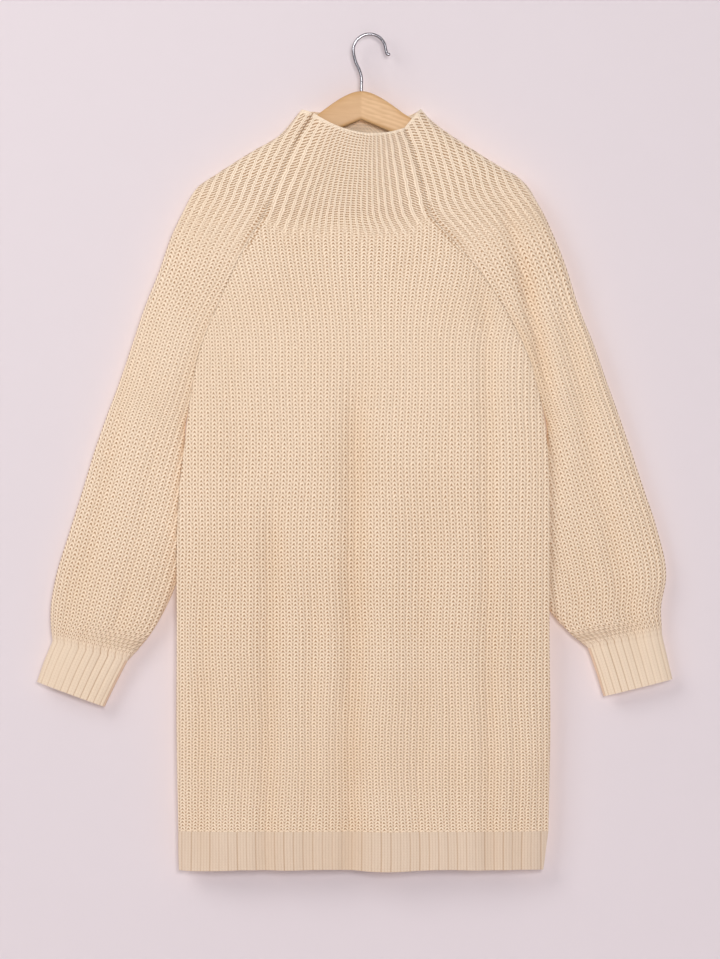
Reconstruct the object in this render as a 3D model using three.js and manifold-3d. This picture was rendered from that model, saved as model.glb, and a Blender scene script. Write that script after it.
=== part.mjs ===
// A knitted sweater dress with raglan balloon sleeves and a mock neck, hung flat on a wooden hanger.
// Millimetres. X runs across the dress, seen from the front, Y to the back and Z up.
// The origin is the point under the top of the hook's arc, where a rail bears.
// "out" is a distance from the dress's centre line, and "drop" a distance below the origin.
import * as THREE from "three";
import { mergeVertices } from "three/addons/utils/BufferGeometryUtils.js";
import Module from "manifold-3d";

// Rows of numbers under one line of column names.
function table(names, rows) {
  const columns = names.split(" ");
  return rows.map((row) => Object.fromEntries(columns.map((name, k) => [name, row[k]])));
}

// Driving dimensions
const CENTRE_LINE = -9; // the dress and the hanger hang this far aside from the bearing point
const WALL = 3; // the knit with its ribs pressed flat
const SEAM_GAP = 0.3; // between two pieces that are sewn together
const RIB_PITCH = 6.9;
const RIB_HEIGHT = 0.9;
const YOKE_RIBS = 17;
const HEM_RIB_PITCH = 10.4;
const CUFF_RIBS = 21;
const HEM_SEAM_DROP = 875.5;
const HEM_DROP = 918;
const EDGE_DEPTH = WALL + SEAM_GAP / 2; // from a side seam to a panel's outer face beside it
const GROOVE_WIDTH = 14; // of the dip along the sleeve's side of the armhole
const PANEL_INSIDE = 22; // faces across a panel's plain inside
const SLEEVE_INSIDE = 7; // faces on each half of a sleeve's plain inside
const CUFF_INSIDE = 6;

// Raglan seams from the neck edge to the underarm, with the depths of the seams and of the panels' middles.
// Drops may differ from side to side, because the neck edge leans.
// Crown is how late a panel falls from its middle depth to its seams.
const RAGLAN = table("left leftDrop right rightDrop frontSeam backSeam front back crown", [
  [53, 86, 47, 103, 12, 12, 22, 20, 2.2],
  [70, 114, 55, 122, 13, 12.5, 20, 18, 2.5],
  [84, 142, 62, 146, 14, 13, 18, 16, 3],
  [97, 172, 69, 173, 14.5, 13.5, 17, 15, 3.5],
  [108, 200, 78, 201, 14.5, 13.5, 15.5, 14.5, 4],
  [120, 220, 95, 220, 14.5, 13.5, 16, 14.5, 5],
  [134, 245, 117, 245, 14, 13, 16, 14, 6],
  [148, 275, 141, 275, 13, 12, 15.5, 14, 7],
  [163.5, 310, 162.5, 310, 11.5, 10, 15, 13.5, 8],
  [179, 352, 183, 352, 9, 6.5, 15, 13, 9],
  [188.5, 402, 197.5, 402, 6.15, 0.15, 15, 13, 10],
]);
const YOKE_ROW = 4; // the row where the neck's wide ribs end
const NECK_DIP = { front: 13.5, back: 0 }; // how far the middle of the neck edge hangs below its ends
const NECK_LIFT = { left: 3, right: 14 }; // how far the back seams start above the front ones

// Side seams from the underarm to the hem. Bias is how far the edge lies before the mid plane.
const SIDES = table("drop left right bias front back crown", [
  [446, 194, 204, 6.5, 15, 13, 10],
  [500, 200, 206.5, 7.5, 15.5, 13.5, 10],
  [570, 203, 207.5, 7.5, 16, 14, 10],
  [650, 203, 207, 6, 16.5, 14.5, 9],
  [760, 203.5, 208, 3, 18, 16, 8],
  [HEM_SEAM_DROP, 201.5, 206, 1, 19, 17, 7],
]);
const HEM_ROWS = table("drop left right bias front back crown", [
  [HEM_SEAM_DROP, 201.5, 206, 1, 19, 17, 7],
  [898, 201.5, 203, 1, 19.5, 17.5, 7],
  [HEM_DROP, 201, 200.5, 1, 20, 18, 7],
]);

// The shoulder and outer edge of each sleeve beside the raglan rows, and its depths before and behind.
const SLEEVE_TOP = table("left leftDrop right rightDrop front back", [
  [65.5, 82, 63.5, 83, 12, 12],
  [88, 109, 84, 100, 13, 12.5],
  [118, 127, 110, 118, 14, 13],
  [156, 151, 146, 141, 14.5, 13.5],
  [184, 172, 180, 163, 14.5, 13.5],
  [197, 196, 195, 187, 14.5, 13.5],
  [209, 222, 207, 211, 14.5, 13.5],
  [221, 257, 223, 250, 14, 13.5],
  [237, 297, 238, 297, 13, 14],
  [251, 338, 254, 337, 11.5, 14.5],
  [266, 382, 270, 382, 10, 15],
]);

// The sleeve tubes from the underarm to the cuffs: their inner folds, outer edges and depths.
// Fold is how far the inner fold lies behind the mid plane. Gather is the ribs' pitch against its full size.
const TUBE_EDGES = "inLeft inLeftDrop left leftDrop inRight inRightDrop right rightDrop";
const TUBE_COLUMNS = TUBE_EDGES + " front back fold gather";
const SLEEVE_TUBE = table(TUBE_COLUMNS, [
  [194.7, 440, 279, 416, 204.7, 440, 284, 420, 8, 16, 1.5, 1],
  [193, 482, 293, 455, 200, 482, 297, 457, 6, 17, 5.5, 1],
  [193, 530, 306.5, 499, 199, 530, 311, 499, 5, 18, 6.5, 1],
  [197, 575, 321, 545, 200, 578, 325, 541, 5, 18.5, 6.5, 1],
  [212, 621, 337, 598, 203, 626, 336, 596, 6, 18.5, 6, 1],
  [233, 660, 342.5, 637, 229, 657, 330, 632, 5, 17, 6, 0.9],
  [258, 689, 340.5, 667, 250, 675, 331.5, 660, 3, 14, 5.5, 0.65],
]);
// Each sleeve is one knitted piece, cut here into lengths between two of its rows, to keep its hollow open.
const SLEEVE_LENGTHS = table("length from to lowered", [
  ["cap", 0, 11, 0],
  ["arm", 11, 14, SEAM_GAP],
  ["forearm", 14, 17, 2 * SEAM_GAP],
]);
const CUFF_LOWERED = 3 * SEAM_GAP;
const CUFF_ROWS = table(TUBE_COLUMNS, [
  [258, 689, 340.5, 667, 250, 675, 331.5, 660, 3, 14, 5.5, 1],
  [271.5, 715.5, 350, 690, 259.5, 703, 337.5, 686, 3, 14, 5.5, 1],
  [283, 739.5, 357.5, 712, 267, 728, 343, 709, 3.5, 14.5, 5.5, 1],
]);

// Soft folds. Each is a trough along a straight line between two points, x to the right of the centre line.
const BODY_FOLDS = table("x0 drop0 x1 drop1 depth width", [
  [-112, 197, 84, 201, 1.4, 10],
  [-6, 430, -12, 930, 4.5, 20],
  [-98, 570, -104, 930, 3.5, 18],
  [-171, 650, -172, 880, 2.5, 15],
  [138, 290, 143, 930, 2.5, 16],
]);
const BACK_FOLDS = table("x0 drop0 x1 drop1 depth width", [
  [22, 470, 30, 930, 4, 21],
  [-86, 520, -96, 930, 3.5, 18],
  [118, 600, 124, 930, 3, 18],
  [-150, 330, -154, 820, 2.5, 16],
]);
const SLEEVE_FOLDS = table("x0 drop0 x1 drop1 depth width", [
  [-255, 380, -305, 600, 2.6, 13],
  [229, 330, 290, 630, 3, 14],
]);

// Hanger
const BAR_THICKNESS = 12;
const BAR_EDGE_ROUND = 3;
const WIRE = 3.4;
const HOOK_RADIUS = 17.9; // of the wire's middle
const BORE_DEPTH = 14;
const BAR_TOP_DROP = 61.3;

const BAR_ARM_TOP = { out: 46, drop: 85.5 }; // where the hump runs into the straight arms
const BAR_LEFT_TIP = { out: 164, drop: 163.5 };
const BAR_RIGHT_TIP = { out: 166, drop: 161.2 };
const BAR_NOTCH_DROP = 93;

const { lerp, smoothstep } = THREE.MathUtils;
const SIDE_NAMES = { "-1": "left", 1: "right" };

// Depth of all the folds of a table at one place: each falls off as a bell with the distance from its line.
function foldDepth(folds, x, drop) {
  return folds.reduce((sum, fold) => {
    const along = new THREE.Vector2(fold.x1 - fold.x0, fold.drop1 - fold.drop0);
    const from = new THREE.Vector2(x - fold.x0, drop - fold.drop0);
    const length = along.length();
    const t = from.dot(along) / length;
    const aside = from.cross(along) / length;
    const past = Math.max(0, -t, t - length);
    return sum + fold.depth * Math.exp(-(aside * aside) / fold.width ** 2 - (past / 40) ** 2);
  }, 0);
}

// A closed wall made from rows of points: an outer row and an inner row for each section.
class Wall {
  constructor() {
    this.points = [];
    this.faces = [];
    this.rows = [];
  }

  // Adds one section. Each point is { at, key, share }, and a ring's last point is its first.
  addSection(outer, innerRow, ring) {
    const place = (row) => {
      const placed = row.slice(0, ring ? -1 : undefined).map((point) => {
        this.points.push(...point.at.toArray());
        return { ...point, id: this.points.length / 3 - 1 };
      });
      return ring ? [...placed, { ...row.at(-1), id: placed[0].id }] : placed;
    };
    this.rows.push({ outer: place(outer), inner: place(innerRow), ring });
  }

  // Fills the strip between two rows, taking the next point of whichever row lags behind.
  // Rows that number their ribs are matched by number, and any others by their share of the width.
  strip(a, b) {
    const numbered = (row) => row.at(-1).key > 1;
    const name = numbered(a) && numbered(b) ? "key" : "share";
    let i = 0;
    let j = 0;
    while (i < a.length - 1 || j < b.length - 1) {
      const stepA = i < a.length - 1 ? Math.abs(a[i + 1][name] - b[j][name]) : Infinity;
      const stepB = j < b.length - 1 ? Math.abs(b[j + 1][name] - a[i][name]) : Infinity;
      if (stepA <= stepB) {
        this.faces.push(a[i].id, b[j].id, a[i + 1].id);
        i += 1;
      } else {
        this.faces.push(a[i].id, b[j].id, b[j + 1].id);
        j += 1;
      }
    }
  }

  geometry(turned) {
    const { rows } = this;
    rows.slice(1).forEach((row, k) => {
      const above = rows[k];
      this.strip(above.outer, row.outer);
      this.strip(row.inner, above.inner);
      if (!above.ring) {
        const edge = (r, at) => [r.outer.at(at).id, r.inner.at(at).id];
        const [o0, i0] = edge(above, 0);
        const [o1, i1] = edge(row, 0);
        this.faces.push(o0, i0, i1, o0, i1, o1);
        const [o2, i2] = edge(above, -1);
        const [o3, i3] = edge(row, -1);
        this.faces.push(o2, i3, i2, o2, o3, i3);
      }
    });
    this.strip(rows[0].inner, rows[0].outer);
    this.strip(rows.at(-1).outer, rows.at(-1).inner);
    const geometry = new THREE.BufferGeometry();
    geometry.setAttribute("position", new THREE.Float32BufferAttribute(this.points, 3));
    geometry.setIndex(turned ? this.faces.reverse() : this.faces);
    geometry.computeVertexNormals();
    return geometry;
  }
}

// Front and back panels

// One level line of a panel: its two ends, its depth at the ends and in the middle, and its dip.
function panelLine(row, k, face) {
  const name = face < 0 ? "front" : "back";
  const nearNeck = Math.max(0, 1 - k / YOKE_ROW);
  const lift = face > 0 ? nearNeck : 0;
  return {
    left: row.left - SEAM_GAP / 2,
    right: row.right - SEAM_GAP / 2,
    leftDrop: (row.leftDrop ?? row.drop) - lift * NECK_LIFT.left,
    rightDrop: (row.rightDrop ?? row.drop) - lift * NECK_LIFT.right,
    dip: nearNeck * NECK_DIP[name],
    seam: row[name + "Seam"] ?? EDGE_DEPTH - face * row.bias,
    middle: row[name],
    crown: row.crown,
  };
}

// A point of a panel at x on its line, moved inwards by inset and outwards by rib.
function panelPoint(line, face, x, inset, rib) {
  const u = (x + line.left) / (line.left + line.right);
  const drop = lerp(line.leftDrop, line.rightDrop, u) + line.dip * (1 - (2 * u - 1) ** 2);
  const end = x < 0 ? line.left : line.right;
  const aside = Math.min(1, Math.abs(x) / end);
  const fade = smoothstep(end - Math.abs(x), 0, 25);
  const fold = foldDepth(face < 0 ? BODY_FOLDS : BACK_FOLDS, x, drop) * fade;
  const depth = line.seam + (line.middle - line.seam) * (1 - aside ** line.crown) - fold;
  return { at: new THREE.Vector3(x, face * (depth - inset + rib), -drop), share: u };
}

// How far apart the ribs stand at a drop, against their pitch on the skirt: they spread towards the yoke.
const ribSpread = (drop) => 1 + 0.17 * (1 - smoothstep(drop, 190, 345));

// A panel's outer points: a peak and a valley for each rib, cut off where the seams cross them.
// The key numbers the ribs, so that a rib meets itself in the next row.
function ribColumns(line, half) {
  const first = Math.ceil((2 - line.left) / half);
  const last = Math.floor((line.right - 2) / half);
  const ribs = Array.from({ length: last - first + 1 }, (_, n) => {
    const key = first + n;
    return { x: key * half, rib: key % 2 ? RIB_HEIGHT : 0, key };
  });
  const ends = [-line.left, line.right].map((x) => ({ x, rib: 0, key: x / half }));
  return [ends[0], ...ribs, ends[1]];
}

// The same number of columns in each row, such as the yoke's wide ribs, which fan out from the neck edge.
function evenColumns(line, count, height) {
  return Array.from({ length: count + 1 }, (_, j) => {
    const key = j / count;
    return { x: lerp(-line.left, line.right, key), rib: j % 2 ? height : 0, key };
  });
}

// A panel's wall. Rows with counted ribs match by rib, and rows of the yoke by their share of the width.
function panelWall(rows, face, columnsOf) {
  const wall = new Wall();
  rows.forEach((row, k) => {
    const line = panelLine(row, row.drop ? RAGLAN.length : k, face);
    const place = ({ x, rib, key }, inset) => ({ ...panelPoint(line, face, x, inset, rib), key });
    const outer = columnsOf(line, k).map((column) => place(column, 0));
    const inside = evenColumns(line, PANEL_INSIDE, 0).map((column) => place(column, WALL));
    wall.addSection(outer, inside, false);
  });
  return wall.geometry(face > 0);
}

function bodyColumns(line, k) {
  if (k < YOKE_ROW) return evenColumns(line, YOKE_RIBS * 2, RIB_HEIGHT);
  return ribColumns(line, (RIB_PITCH * ribSpread((line.leftDrop + line.rightDrop) / 2)) / 2);
}

const hemColumns = (line) => ribColumns(line, HEM_RIB_PITCH / 2);
const panelGeometry = (face) => panelWall([...RAGLAN, ...SIDES], face, bodyColumns);
const hemGeometry = (face) => panelWall(HEM_ROWS, face, hemColumns);

// Sleeves and cuffs

// Points of a half section from the seam or inner fold to the outer edge: d runs across the sleeve.
// An open section is a quarter of a superellipse, with a dip at the seam, and a ring's is a half of one.
function halfSection(section, face, inset) {
  const power = section.ring ? 2.5 : 3.2;
  const steps = 60;
  const width = section.width;
  const name = face < 0 ? "front" : "back";
  const edge = (section.back - section.front) / 2;
  const depth = section[name] - inset;
  return Array.from({ length: steps + 1 }, (_, k) => {
    const turn = k / steps;
    if (section.ring) {
      const angle = Math.PI * turn;
      const across = -Math.sign(Math.cos(angle)) * Math.abs(Math.cos(angle)) ** (2 / power);
      const middle = lerp(section.fold, edge, turn);
      const swell = Math.sin(angle) ** (2 / power);
      return { d: width / 2 + across * (width / 2 - inset), y: lerp(middle, face * depth, swell) };
    }
    const angle = (Math.PI / 2) * turn;
    const d = Math.sin(angle) ** (2 / power) * (width - inset);
    const groove = (section[name] - section[name + "Seam"]) * Math.exp(-((d / GROOVE_WIDTH) ** 2));
    return { d, y: lerp(edge, face * depth, Math.cos(angle) ** (2 / power)) - face * groove };
  });
}

// Walks back along a half section from the outer edge, and gives the point and direction at each distance.
function resample(half, distances) {
  const lengths = [0];
  const back = [...half].reverse();
  back.slice(1).forEach((p, k) => lengths.push(lengths[k] + Math.hypot(p.d - back[k].d, p.y - back[k].y)));
  const total = lengths.at(-1);
  return distances(total).map(({ at, ...rest }) => {
    const k = Math.max(1, lengths.findIndex((l) => l >= Math.min(at, total) - 1e-9));
    const t = (Math.min(at, total) - lengths[k - 1]) / (lengths[k] - lengths[k - 1]);
    const [p, q] = [back[k - 1], back[k]];
    const run = new THREE.Vector2(q.d - p.d, q.y - p.y).normalize();
    return { d: lerp(p.d, q.d, t), y: lerp(p.y, q.y, t), run, ...rest };
  });
}

// Places a section's point: d goes from the inner to the outer edge along the section's slant.
function sleevePoint(section, side, point, rib, face) {
  const d = point.d + face * point.run.y * rib;
  const y = point.y - face * point.run.x * rib;
  const across = d / section.width;
  const lift = face > 0 ? section.lift * (1 - across) : 0;
  const out = lerp(section.inOut, section.outOut, across);
  const drop = lerp(section.inDrop, section.outDrop, across) - lift;
  const mid = (section.back - section.front) / 2;
  const share = Math.min(1, Math.abs(point.y - mid) / 6) * smoothstep(point.d, 0, 20);
  const fold = foldDepth(SLEEVE_FOLDS, side * out, drop) * share;
  return new THREE.Vector3(side * out, y - Math.sign(point.y - mid) * fold, -drop);
}

// One section of a sleeve or cuff: outer points with ribs counted from the outer edge, and fewer inner ones.
function sleeveSection(wall, section, side, pitch, insideHalf) {
  const half = pitch / 2;
  const ribbed = (total) => {
    const count = Math.floor((total - half * 0.6) / half);
    const ribAt = (j) => ({ at: j * half, rib: j % 2 ? RIB_HEIGHT : 0, key: j });
    const marks = Array.from({ length: count + 1 }, (_, j) => ribAt(j));
    return [...marks, { at: total, rib: 0, key: total / half }];
  };
  const plain = (total) =>
    Array.from({ length: insideHalf + 1 }, (_, j) => {
      const at = total * (j / insideHalf) ** 1.6; // closest where the wall turns round the outer edge
      return { at, rib: 0, key: at / half };
    });
  const row = (marks, inset) => {
    const [front, back] = [-1, 1].map((face) =>
      resample(halfSection(section, face, inset), marks).map((point) => ({
        at: sleevePoint(section, side, point, point.rib, face),
        key: face * point.key,
        share: face * point.key,
      })),
    );
    return [...front.reverse(), ...back.slice(1)];
  };
  wall.addSection(row(ribbed, 0), row(plain, WALL), section.ring);
}

// What an open section beside a raglan seam and a closed ring have in common, from one row of each edge.
function sectionBetween(inOut, inDrop, row, side) {
  const name = SIDE_NAMES[side];
  const [outOut, outDrop] = [row[name], row[name + "Drop"]];
  const width = Math.hypot(outOut - inOut, outDrop - inDrop);
  return { inOut, inDrop, outOut, outDrop, width, lift: 0, front: row.front, back: row.back };
}

function openSection(seam, k, side) {
  const name = SIDE_NAMES[side];
  const { frontSeam, backSeam } = seam;
  const lift = NECK_LIFT[name] * Math.max(0, 1 - k / YOKE_ROW);
  const section = sectionBetween(seam[name] + SEAM_GAP / 2, seam[name + "Drop"], SLEEVE_TOP[k], side);
  return { ...section, ring: false, lift, frontSeam, backSeam };
}

function ringSection(row, side) {
  const name = side < 0 ? "inLeft" : "inRight";
  return { ...sectionBetween(row[name], row[name + "Drop"], row, side), ring: true, fold: row.fold };
}

function sleeveGeometry(side, { from, to }) {
  const sections = [
    ...RAGLAN.map((seam, k) => ({ section: openSection(seam, k, side), pitch: RIB_PITCH })),
    ...SLEEVE_TUBE.map((row) => ({ section: ringSection(row, side), pitch: RIB_PITCH * row.gather })),
  ];
  const wall = new Wall();
  sections.slice(from, to + 1).forEach(({ section, pitch }) => {
    sleeveSection(wall, section, side, pitch, SLEEVE_INSIDE);
  });
  return wall.geometry(side < 0);
}

function cuffGeometry(side) {
  const wall = new Wall();
  CUFF_ROWS.forEach((row) => {
    const section = ringSection(row, side);
    const girth = 2 * section.width + (section.front + section.back) * 0.2;
    sleeveSection(wall, section, side, girth / CUFF_RIBS, CUFF_INSIDE);
  });
  return wall.geometry(side < 0);
}

// Hanger

// One half of the bar's outline, from the tip's top round its end and along the underside to the notch.
// The tip is a blunt round nose, a little narrower than the arm.
function armCurves(tip) {
  return [
    [tip.out + 11, tip.drop + 7, tip.out + 3, tip.drop + 22, tip.out - 11, tip.drop + 16],
    [100, 141, 60, 117, 0, BAR_NOTCH_DROP],
  ];
}

// The bar's outline: a humped top, two straight arms that slope a little differently, and a notched underside.
function barShape() {
  const shape = new THREE.Shape();
  shape.moveTo(0, -BAR_TOP_DROP);
  shape.bezierCurveTo(12, -BAR_TOP_DROP, 26, -70, BAR_ARM_TOP.out, -BAR_ARM_TOP.drop);
  shape.lineTo(BAR_RIGHT_TIP.out, -BAR_RIGHT_TIP.drop);
  armCurves(BAR_RIGHT_TIP).forEach(([a, b, c, d, e, f]) => shape.bezierCurveTo(a, -b, c, -d, e, -f));
  const [nose, under] = armCurves(BAR_LEFT_TIP);
  shape.bezierCurveTo(-under[2], -under[3], -under[0], -under[1], -nose[4], -nose[5]);
  shape.bezierCurveTo(-nose[2], -nose[3], -nose[0], -nose[1], -BAR_LEFT_TIP.out, -BAR_LEFT_TIP.drop);
  shape.lineTo(-BAR_ARM_TOP.out, -BAR_ARM_TOP.drop);
  shape.bezierCurveTo(-26, -70, -12, -BAR_TOP_DROP, 0, -BAR_TOP_DROP);
  return shape;
}

function solidFrom(wasm, geometry) {
  const bare = geometry.clone();
  bare.deleteAttribute("normal");
  bare.deleteAttribute("uv");
  const merged = mergeVertices(bare, 1e-4);
  const vertProperties = new Float32Array(merged.attributes.position.array);
  const triVerts = new Uint32Array(merged.index.array);
  return new wasm.Manifold(new wasm.Mesh({ numProp: 3, vertProperties, triVerts }));
}

// The wooden bar with the bore that the hook is set in.
async function barGeometry() {
  const plate = new THREE.ExtrudeGeometry(barShape(), {
    depth: BAR_THICKNESS - 2 * BAR_EDGE_ROUND,
    bevelThickness: BAR_EDGE_ROUND,
    bevelSize: BAR_EDGE_ROUND,
    bevelOffset: -BAR_EDGE_ROUND,
    bevelSegments: 2,
    curveSegments: 7,
  });
  plate.rotateX(Math.PI / 2).translate(0, BAR_THICKNESS / 2 - BAR_EDGE_ROUND, 0);
  const bore = new THREE.CylinderGeometry(WIRE / 2 + SEAM_GAP, WIRE / 2 + SEAM_GAP, 2 * BORE_DEPTH, 12);
  bore.rotateX(Math.PI / 2).translate(0, 0, -BAR_TOP_DROP);
  const wasm = await Module();
  wasm.setup();
  const mesh = solidFrom(wasm, plate).subtract(solidFrom(wasm, bore)).getMesh();
  const geometry = new THREE.BufferGeometry();
  geometry.setAttribute("position", new THREE.BufferAttribute(mesh.vertProperties, 3));
  geometry.setIndex(new THREE.BufferAttribute(mesh.triVerts, 1));
  geometry.computeVertexNormals();
  return geometry;
}

// The bent wire: a straight shank, a lean to the left, three quarters of the arc and a short turned-out tip.
function hookGeometry() {
  const centre = HOOK_RADIUS - WIRE / 2;
  const at = (x, drop) => new THREE.Vector3(x, 0, -drop);
  const arc = [175, 150, 125, 100, 75, 50, 25, 3].map((degrees) => {
    const angle = THREE.MathUtils.degToRad(degrees);
    return at(HOOK_RADIUS * Math.cos(angle), centre - HOOK_RADIUS * Math.sin(angle));
  });
  const shank = [at(CENTRE_LINE, BAR_TOP_DROP + BORE_DEPTH - 1), at(CENTRE_LINE, 58), at(CENTRE_LINE, 46)];
  const lean = [at(-11, 38.5), at(-15.6, 28)];
  const tip = [at(19.6, 20.4), at(23, 20.6)];
  const path = new THREE.CatmullRomCurve3([...shank, ...lean, ...arc, ...tip], false, "centripetal");
  const section = new THREE.Shape().absarc(0, 0, WIRE / 2, 0, 2 * Math.PI);
  return new THREE.ExtrudeGeometry(section, { extrudePath: path, steps: 40, curveSegments: 4 });
}

// Assembly

const yarn = { color: 0xeedabd, roughness: 0.95, metalness: 0 };
const wood = { color: 0xe2ba88, roughness: 0.55, metalness: 0 };
const steel = { color: 0xc9ccd0, roughness: 0.2, metalness: 1 };

function piece(name, geometry, finish) {
  const mesh = new THREE.Mesh(geometry, new THREE.MeshStandardMaterial(finish));
  mesh.name = name;
  return mesh;
}

const dress = new THREE.Group();
dress.position.x = CENTRE_LINE;
dress.add(piece("front_panel", panelGeometry(-1), yarn));
dress.add(piece("back_panel", panelGeometry(1), yarn));

function lowered(distance, ...pieces) {
  const group = new THREE.Group();
  group.position.z = -distance;
  return group.add(...pieces);
}

[-1, 1].forEach((side) => {
  const name = SIDE_NAMES[side];
  SLEEVE_LENGTHS.forEach((part) => {
    const mesh = piece(`sleeve_${name}_${part.length}`, sleeveGeometry(side, part), yarn);
    dress.add(lowered(part.lowered, mesh));
  });
  dress.add(lowered(CUFF_LOWERED, piece(`cuff_${name}`, cuffGeometry(side), yarn)));
});
const hems = [-1, 1].map((face) => piece(face < 0 ? "hem_front" : "hem_back", hemGeometry(face), yarn));
dress.add(lowered(SEAM_GAP, ...hems));
dress.add(piece("hanger_bar", await barGeometry(), wood));

const sweaterDress = new THREE.Group();
sweaterDress.add(dress);
sweaterDress.add(piece("hanger_hook", hookGeometry(), steel));

export default sweaterDress;
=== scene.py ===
"""The looks of a knitted sweater dress with raglan balloon sleeves and a mock neck, on a wooden hanger.

The sizes below are millimetres and become metres when a mesh is made. "out" is a distance from the dress's
centre line, and "drop" a distance below the point where the hook bears on its rail. X runs across, Y to the
back and Z up. Face is -1 on the front and +1 on the back, and side -1 on the left and +1 on the right.
"""

import bpy
import numpy as np
from bpy.props import FloatProperty, FloatVectorProperty, PointerProperty
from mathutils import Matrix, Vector


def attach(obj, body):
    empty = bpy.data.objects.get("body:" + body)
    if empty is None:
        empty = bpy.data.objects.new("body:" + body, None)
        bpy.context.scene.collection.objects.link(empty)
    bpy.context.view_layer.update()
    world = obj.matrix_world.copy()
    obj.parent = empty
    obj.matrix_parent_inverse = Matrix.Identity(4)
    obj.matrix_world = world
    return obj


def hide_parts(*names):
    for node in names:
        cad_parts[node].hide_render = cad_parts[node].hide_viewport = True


bl_info = {
    "name": "Sweater dress",
    "version": (1, 0, 0),
    "blender": (4, 5, 0),
    "location": "3D View > Sidebar > Dress",
    "description": "Builds the knitted cloth, the hanger and the studio of a sweater dress",
    "category": "Object",
}

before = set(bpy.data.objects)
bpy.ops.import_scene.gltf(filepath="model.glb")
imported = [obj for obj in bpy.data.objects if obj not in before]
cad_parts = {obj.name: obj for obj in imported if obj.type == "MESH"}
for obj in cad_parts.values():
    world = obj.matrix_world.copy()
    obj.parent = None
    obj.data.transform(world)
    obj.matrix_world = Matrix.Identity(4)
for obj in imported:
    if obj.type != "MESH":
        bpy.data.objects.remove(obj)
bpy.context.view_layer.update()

MM = 0.001


def table(names, rows):
    """Rows of numbers under one line of column names, as one array for each column."""
    return dict(zip(names.split(), np.array(rows, float).T))


# Driving dimensions
CENTRE_LINE = -9  # the dress hangs this far aside from the bearing point
SEAM_GAP = 0.3
YOKE_RIBS = 22
YOKE_FAN = 0.35  # how much closer the yoke's ribs stand in its middle
YOKE_ROW = 4  # the panel row where the yoke ends
YOKE_SAG = 14  # how much lower the yoke ends in its middle
CUFF_RIBS = 21
GROOVE_WIDTH = 14
NECK_DIP = {-1: 13.5, 1: 0}
NECK_LIFT = {-1: 3, 1: 14}
RIM_HEIGHT = 0.9
RIM_HALF_WIDTH = 1.6
RING_POWER = 2 / 2.5  # of the superellipse of a closed sleeve, an open one and the bar
OPEN_POWER = 2 / 3.2
BAR_POWER = 2 / 5
HEM_RELIEF = 0.3  # how much of a rib's height the bands have
CUFF_RELIEF = 0.6
SLEEVE_LENGTHS = ("cap", "arm", "forearm")  # the solids that each sleeve stands for

# How fine the meshes are
COLUMNS_PER_RIB = 6
WIDEST = 215  # no panel reaches further out
PANEL_STEP = 7
HEM_STEP = 4
SECTION_STEPS = 120
SLEEVE_ROWS = 105
CUFF_ROW_COUNT = 13

# Where reliefs and shades begin and end
DEEP_FOLD = 13  # a fold as deep as this has the full painted shade of a crease
RIB_START = 1.2  # ribs rise from a seam over this distance
FOLD_START = 25  # and folds over this one
FAR = 100  # so far from an edge or a seam, nothing of it shows
NO_SEAM = 200  # where a sleeve has closed, this is added to the distance from its inner fold
LAYER_STRIP = 5  # how wide the painted shade along an inner fold is
YOKE_CHANGE = (-12, 18)  # the two knits blend from this far above their line to this far below
SPREAD_DROPS = (190, 350)
RAGLAN_END = (380, 440)
# Where the painted shade under each arm begins and ends, and how strong it is on each side
UNDERARM_START = (270, 350)
UNDERARM_END = (430, 520)
UNDERARM_SHADE = {-1: 0.5, 1: 0.9}
WAVE_DROPS = (860, 918)

PANEL_COLUMNS = "left leftDrop right rightDrop frontSeam backSeam front back crown"
PANEL_ROWS = table(
    PANEL_COLUMNS,
    [
        [53, 86, 47, 103, 12, 12, 22, 20, 2.2],
        [70, 114, 55, 122, 13, 12.5, 20, 18, 2.5],
        [84, 142, 62, 146, 14, 13, 18, 16, 3],
        [97, 172, 69, 173, 14.5, 13.5, 17, 15, 3.5],
        [108, 200, 78, 201, 14.5, 13.5, 15.5, 14.5, 4],
        [120, 220, 95, 220, 14.5, 13.5, 16, 14.5, 5],
        [134, 245, 117, 245, 14, 13, 16, 14, 6],
        [148, 275, 141, 275, 13, 12, 15.5, 14, 7],
        [163.5, 310, 162.5, 310, 11.5, 10, 15, 13.5, 8],
        [179, 352, 183, 352, 9, 6.5, 15, 13, 9],
        [188.5, 402, 197.5, 402, 6.15, 0.15, 15, 13, 10],
        [194, 446, 204, 446, 9.65, -3.35, 15, 13, 10],
        [200, 500, 206.5, 500, 10.65, -4.35, 15.5, 13.5, 10],
        [203, 570, 207.5, 570, 10.65, -4.35, 16, 14, 10],
        [203, 650, 207, 650, 9.15, -2.85, 16.5, 14.5, 9],
        [203.5, 760, 208, 760, 6.15, 0.15, 18, 16, 8],
        [201.5, 875.5, 206, 875.5, 4.15, 2.15, 19, 17, 7],
    ],
)
HEM_ROWS = table(
    PANEL_COLUMNS,
    [
        [201.5, 875.5, 206, 875.5, 4.15, 2.15, 19, 17, 7],
        [201.5, 898, 203, 898, 4.15, 2.15, 19.5, 17.5, 7],
        [201, 918, 200.5, 918, 4.15, 2.15, 20, 18, 7],
    ],
)

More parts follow.
